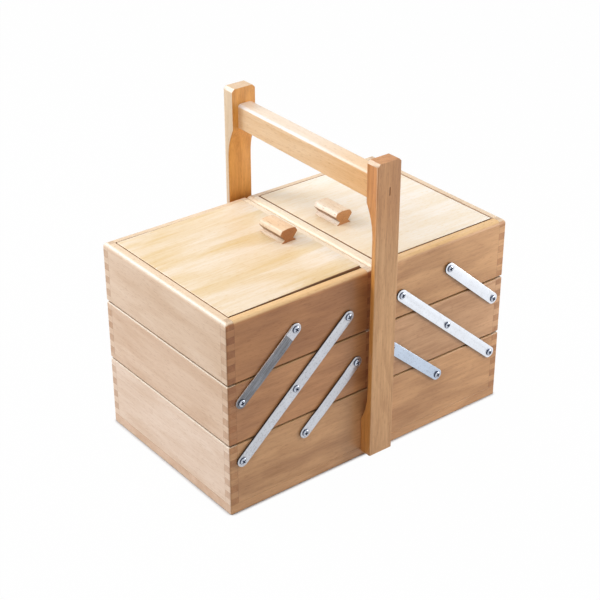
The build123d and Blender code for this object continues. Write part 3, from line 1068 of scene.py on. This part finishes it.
def modelLid(side):
    low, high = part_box(f"{side}_lid_panel")
    middle, size = inMiddleOf(low, high), high - low
    outer = low.x if side == "left" else high.x
    free = high.x if side == "left" else low.x
    deselectAll()
    bpy.ops.mesh.primitive_cube_add(size=1, location=middle, scale=size)
    panel = bpy.context.object
    panel.name = f"{side}_lid_board"
    applyPlace(panel)
    startEditing(panel)
    inward = 1 if side == "left" else -1
    outerCut, freeCut = lid["cutBack"][side]
    for end, shift in ((outer, inward * outerCut), (free, -inward * freeCut)):
        pick(panel, "verts", lambda vert: near(vert.co.x, end))
        bpy.ops.transform.translate(value=(shift, 0, 0))
    outer += inward * outerCut
    for level, rounding in ((high.z, lid["outerTop"]), (low.z, lid["outerUnder"])):
        pick(panel, "edges", lambda edge: liesAt(edge, 0, outer) and liesAt(edge, 2, level))
        bpy.ops.mesh.bevel(offset=rounding, segments=lid["outerSteps"])
    pick(panel, "edges", lambda edge: liesAt(edge, 2, high.z)
         and not all(abs(vert.co.x - outer) < size.z for vert in edge.verts))
    bpy.ops.mesh.bevel(offset=lid["topEdge"], segments=lid["topSteps"])
    along, across = lid["cuts"]
    for index in range(1, along):
        cutAcross((low.x + size.x * index / along, 0, 0), (1, 0, 0))
    for index in range(1, across):
        cutAcross((0, low.y + size.y * index / across, 0), (0, 1, 0))
    stopEditing()
    smoothed(panel)
    return panel, free


def modelPull(side):
    low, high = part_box(f"{side}_lid_pull")
    middle, size = inMiddleOf(low, high), high - low
    shoulder, crownWide, _ = pull["levels"][-1]
    crown = low.z + size.z * shoulder
    deselectAll()
    bpy.ops.mesh.primitive_cube_add(
        size=1,
        location=(middle.x, middle.y, (low.z + crown) / 2),
        scale=(size.x, size.y - 2 * pull["endChamfer"], crown - low.z),
    )
    piece = bpy.context.object
    piece.name = f"{side}_pull_moulding"
    applyPlace(piece)
    startEditing(piece)
    for share, _, _ in pull["levels"][1:-1]:
        cutAcross((middle.x, middle.y, low.z + size.z * share), (0, 0, 1))
    for share, wide, _ in pull["levels"]:
        level = low.z + size.z * share
        pick(piece, "verts", lambda vert: near(vert.co.z, level))
        bpy.ops.transform.resize(value=(wide, 1, 1), center_override=middle)
    halfTop = size.x / 2 * crownWide
    for share in pull["crownCuts"]:
        cutAcross((middle.x + halfTop * share, middle.y, middle.z), (1, 0, 0))
    for share, rise in zip(pull["crownCuts"], pull["crownRise"]):
        line = middle.x + halfTop * share
        pick(piece, "verts", lambda vert: near(vert.co.x, line) and vert.co.z > crown - closeBy)
        bpy.ops.transform.translate(value=(0, 0, (high.z - crown) * rise))
    for share, wide, rounding in pull["levels"]:
        if not rounding:
            continue
        level, reach = low.z + size.z * share, size.x / 2 * wide
        pick(piece, "edges", lambda edge: liesAt(edge, 2, level)
             and all(near(abs(vert.co.x - middle.x), reach) for vert in edge.verts)
             and abs(edge.verts[0].co.y - edge.verts[1].co.y) > size.y / 2)
        bpy.ops.mesh.bevel(offset=rounding, segments=pull["roundSteps"])
    for face in (-1, 1):
        pick(piece, "faces", lambda each: each.normal.y * face > squareTo)
        bpy.ops.mesh.extrude_region_move(TRANSFORM_OT_translate={"value": (0, face * pull["endChamfer"], 0)})
        narrower = 1 - 2 * pull["endChamfer"] / size.x
        lower = 1 - pull["endChamfer"] / size.z
        bpy.ops.transform.resize(value=(narrower, 1, lower), center_override=(middle.x, middle.y, low.z))
    stopEditing()
    outward(piece)
    smoothed(piece)
    return piece


def warpLid(side, panel, piece, free):
    # the plywood has pulled the free edge up a little, more at the front
    low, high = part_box(f"{side}_lid_panel")
    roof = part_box(f"{side}_lid_pull")[1].z
    size = Vector((high.x - low.x, high.y - low.y, roof - low.z))
    deselectAll()
    bpy.ops.object.add(type="LATTICE", location=(low + Vector((high.x, high.y, roof))) / 2)
    cage = bpy.context.object
    cage.scale = size
    cage.data.points_u = cage.data.points_v = cage.data.points_w = 2
    for axis in "uvw":
        setattr(cage.data, f"interpolation_type_{axis}", "KEY_LINEAR")
    front, back = lid["lift"][side]
    for point in cage.data.points:
        if abs(cage.location.x + point.co.x * size.x - free) < size.x / 4:
            rise = front if point.co.y < 0 else back
            point.co_deform.z += rise / size.z
    bpy.context.view_layer.update()
    for each in (panel, piece):
        applyModifier(each, "LATTICE", object=cage)
    removed(cage)


lidPieces = {}
for side in ("left", "right"):
    panel, free = modelLid(side)
    piece = modelPull(side)
    warpLid(side, panel, piece, free)
    for made, node, slotName in ((panel, "lid_panel", "lid_panel_wood"), (piece, "lid_pull", "pull_wood")):
        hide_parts(f"{side}_{node}")
        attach(made, f"{side}_lid")
        lidPieces[f"{side}_{node}"] = made
print("lids and pulls made")


# Handle: posts with their inner edges eased, and a bar that sits a little lower at the front

handle = {
    "edge": 0.0010,
    "edgeSteps": 3,
    "sharp": 25,  # degrees
    "flatWithin": 1,
    "keepClear": 0.0025,  # the rounded outer corners, the foot and the head are left as they are
    "headFrom": 0.370,
    "tenonZone": (0.332, 0.356),
    "slitReach": 0.003,
    "reliefZone": (0.280, 0.331),
    "footBelow": 0.020,
}
# how far each part stands above its drawn place, and how far the head leans to the right
handleFit = {
    "front_upright": {
        "head": -0.0060,
        "relief": -0.0046,
        "mortise": -0.0028,
        "slit": -0.0050,
        "foot": -0.0015,
        "lean": 0.0014,
        "underBar": -0.0022,  # the bar's underside, at this end
    },
    "back_upright": {
        "head": 0,
        "relief": 0,
        "mortise": 0.0016,
        "slit": 0,
        "foot": 0,
        "lean": 0,
        "underBar": -0.0009,
    },
}


def moveSome(piece, move, chosen):
    if any(move):
        pick(piece, "verts", chosen)
        bpy.ops.transform.translate(value=move)


def easeUpright(node):
    low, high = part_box(node)
    outer = low.y if node.startswith("front") else high.y
    middle = inMiddleOf(*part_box("handle_wedges")).x
    fit, clear = handleFit[node], handle["keepClear"]
    piece = copied(nodes[node], node + "_eased")

    def between(vert, zone):
        return zone[0] < vert.co.z < zone[1]

    def inSlit(vert):
        return abs(vert.co.x - middle) < handle["slitReach"]

    def toEase(edge):
        # the long inner edges of both sides, clear of the outer corners, the foot and the head
        if not (liesAt(edge, 0, low.x) or liesAt(edge, 0, high.x)):
            return False
        if any(abs(vert.co.y - outer) <= clear or vert.co.z >= handle["headFrom"] for vert in edge.verts):
            return False
        if max(vert.co.z for vert in edge.verts) <= low.z + clear or len(edge.link_faces) != 2:
            return False
        return edge.calc_face_angle() > radians(handle["sharp"])

    startEditing(piece)
    bpy.ops.mesh.select_all(action="SELECT")
    bpy.ops.mesh.remove_doubles(threshold=closeBy)
    bpy.ops.mesh.dissolve_limited(angle_limit=radians(handle["flatWithin"]))
    pick(piece, "edges", toEase)
    bpy.ops.mesh.bevel(offset=handle["edge"], segments=handle["edgeSteps"])
    tenon, relief, lean = handle["tenonZone"], handle["reliefZone"], fit["lean"]
    moveSome(piece, (lean, 0, fit["mortise"]), lambda vert: between(vert, tenon) and not inSlit(vert))
    moveSome(piece, (0, 0, fit["slit"]), lambda vert: between(vert, tenon) and inSlit(vert))
    moveSome(piece, (lean, 0, fit["relief"]), lambda vert: between(vert, relief))
    moveSome(piece, (lean, 0, fit["head"]), lambda vert: vert.co.z > handle["headFrom"])
    moveSome(piece, (0, 0, fit["foot"]), lambda vert: vert.co.z < handle["footBelow"])
    stopEditing()
    smoothed(piece)
    return piece


def fitBar():
    bar = copied(nodes["handle_bar"], "carrying_bar")
    wedges = copied(nodes["handle_wedges"], "tenon_wedges")
    middle = inMiddleOf(*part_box("handle_bar"))
    for node, way in (("front_upright", -1), ("back_upright", 1)):
        fit = handleFit[node]
        startEditing(bar)
        moveSome(bar, (0, 0, fit["underBar"]), lambda vert: vert.co.y * way > 0 and vert.co.z < middle.z)
        moveSome(bar, (fit["lean"], 0, fit["mortise"]), lambda vert: vert.co.y * way > 0)
        stopEditing()
        startEditing(wedges)
        moveSome(wedges, (0, 0, fit["slit"]), lambda vert: vert.co.y * way > 0)
        stopEditing()
    for piece in (bar, wedges):
        smoothed(piece)
    return bar, wedges


carryingBar, tenonWedges = fitBar()
eased = {node: easeUpright(node) for node in ("front_upright", "back_upright")}
for piece, node, slotName in (
    (eased["front_upright"], "front_upright", "handle_wood"),
    (eased["back_upright"], "back_upright", "handle_wood"),
    (carryingBar, "handle_bar", "handle_wood"),
    (tenonWedges, "handle_wedges", "wedge_wood"),
):
    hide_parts(node)
    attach(piece, "base")
print("uprights eased and bar fitted")


# Dressing: every piece gets its own board, cut from its own place in the tree

def dress(piece, material):
    piece.data.materials.clear()
    piece.data.materials.append(material)
    for face in piece.data.polygons:
        face.material_index = 0


jointFingers = 9  # fingers and gaps down each corner of a tier


def tierOf(name):
    # the corner joints of the tier that a board belongs to
    side, kind = name.split("_")[:2]
    tierName = "bottom" if side == "bottom" else f"{side}_{kind}"
    lows, highs = zip(*[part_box(f"{tierName}_{face}_side") for face in ("front", "back")])
    low = Vector([min(part) for part in zip(*lows)])
    high = Vector([max(part) for part in zip(*highs)])
    half = (high - low) / 2
    return {"Middle": inMiddleOf(low, high), "Half": half, "Pitch": 2 * half.z / jointFingers}


# each tier's tone, of its fronts and backs, then of its ends: partly the wood's own tone and partly painted
# light and shade, such as the darker left fronts
tierTonesAndPaintedLight = {
    "left_top": ((0.78, 0.625, 0.50), (1.0, 0.97, 0.93)),
    "left_middle": ((0.87, 0.74, 0.66), (0.98, 0.92, 0.87)),
    "bottom": ((1.0, 0.98, 1.0), (1.07, 1.08, 1.12)),
    "base": ((1.02, 1.0, 1.02), (1.14, 1.16, 1.19)),
    "right_top": ((1.03, 1.02, 1.04), (1.0, 1.0, 1.0)),
    "right_middle": ((1.04, 1.08, 1.28), (1.0, 1.0, 1.0)),
}


def scaled(colour, tone):
    return tuple(part * share for part, share in zip(colour, tone))


def toned(look, sideTone, endTone):
    faces = []
    for toward, light, dark, reach in look["faces"]:
        tone = endTone if toward in (left, right) else (1, 1, 1)
        faces.append((toward, scaled(light, tone), scaled(dark, tone), reach))
    light, dark = scaled(look["light"], sideTone), scaled(look["dark"], sideTone)
    return dict(look, light=light, dark=dark, faces=tuple(faces))


def tonesOf(name):
    return next(tones for tierName, tones in tierTonesAndPaintedLight.items() if name.startswith(tierName + "_"))


# each kind of board: its look, the way of its grain, and where the tree's middle was from its own
boards = (
    ("top_front_side", frontLook, "x", (0, 0.09, 0)),
    ("front_side", lowFrontLook, "x", (0, 0.09, 0)),
    ("back_side", backLook, "x", (0, 0.09, 0)),
    ("inner_end", innerLook, "y", (0.08, 0, 0)),
    ("_end", endLook, "y", (0.08, 0, 0)),
    ("_divider", innerLook, "y", (0.07, 0, -0.03)),
    ("_rest", innerLook, "y", (0.07, 0, -0.03)),
    ("_floor", plyLook, "x", (0, 0.03, -0.3)),
    ("base_board", lowFrontLook, "x", (0, 0.02, -0.106)),
    ("left_lid_panel", leftLidLook, "x", (0, 0.0293, -0.14)),
    ("right_lid_panel", rightLidLook, "x", (0, 0.0293, -0.14)),
    ("left_lid_pull", pullLook, "y", (0, 0, -0.05)),
    ("right_lid_pull", paintedLitRightPullLook, "y", (0, 0, -0.05)),
    ("front_upright", frontUprightLook, "z", (0.06, 0.12, 0)),
    ("back_upright", backUprightLook, "z", (-0.05, 0.12, 0)),
    ("handle_bar", barLook, "y", (0.05, 0, -0.05)),
    ("handle_wedges", wedgeLook, "y", (0, 0, 0)),
)
heartWander = 0.05  # how far the tree's middle is moved up or down from one side or end to the next
# these straps take a painted dark reflection and a painted shade
paintedLightStraps = {"left_front_upper_strap": "dark", "right_front_lower_strap": "shadedBlue"}


def boardFinish(name):
    look, grain, away = next(board[1:] for board in boards if name.endswith(board[0]))
    heart = inMiddleOf(*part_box(name)) + Vector(away)
    heart["xyz".index(grain)] = 0
    tier = None
    if name.endswith(("_side", "_end")):
        heart.z += random.uniform(-heartWander, heartWander)
        tier = tierOf(name)
    if tier or name == "base_board":
        look = toned(look, *tonesOf(name))
    return woodFinish(name + "_wood", look, grain, heart, tier)


pieces = dict(nodes)
pieces.update({**straps, **lidPieces, **eased, "handle_bar": carryingBar, "handle_wedges": tenonWedges})
for name in sorted(pieces):
    piece = pieces[name]
    if name.endswith("pivot_screws"):
        continue
    if name.endswith("_strap"):
        dress(piece, strapFinish[paintedLightStraps.get(name, name.split("_")[0])])
    elif name.endswith(("screws", "pins")):
        dress(piece, screwFinish)
    else:
        dress(piece, boardFinish(name))

# the painted dark reflection on this strap stops short of its right end, which keeps the dim painted look of
# the other left straps
paintedDarkStrap = pieces["left_front_upper_strap"]
paintedDarkStrap.data.materials.append(strapFinish["left"])
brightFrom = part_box("left_front_upper_strap")[1].x - strap["wide"] * strap["brightEnd"]
for face in paintedDarkStrap.data.polygons:
    face.material_index = 1 if face.center.x > brightFrom else 0
print("wood and steel on every piece")
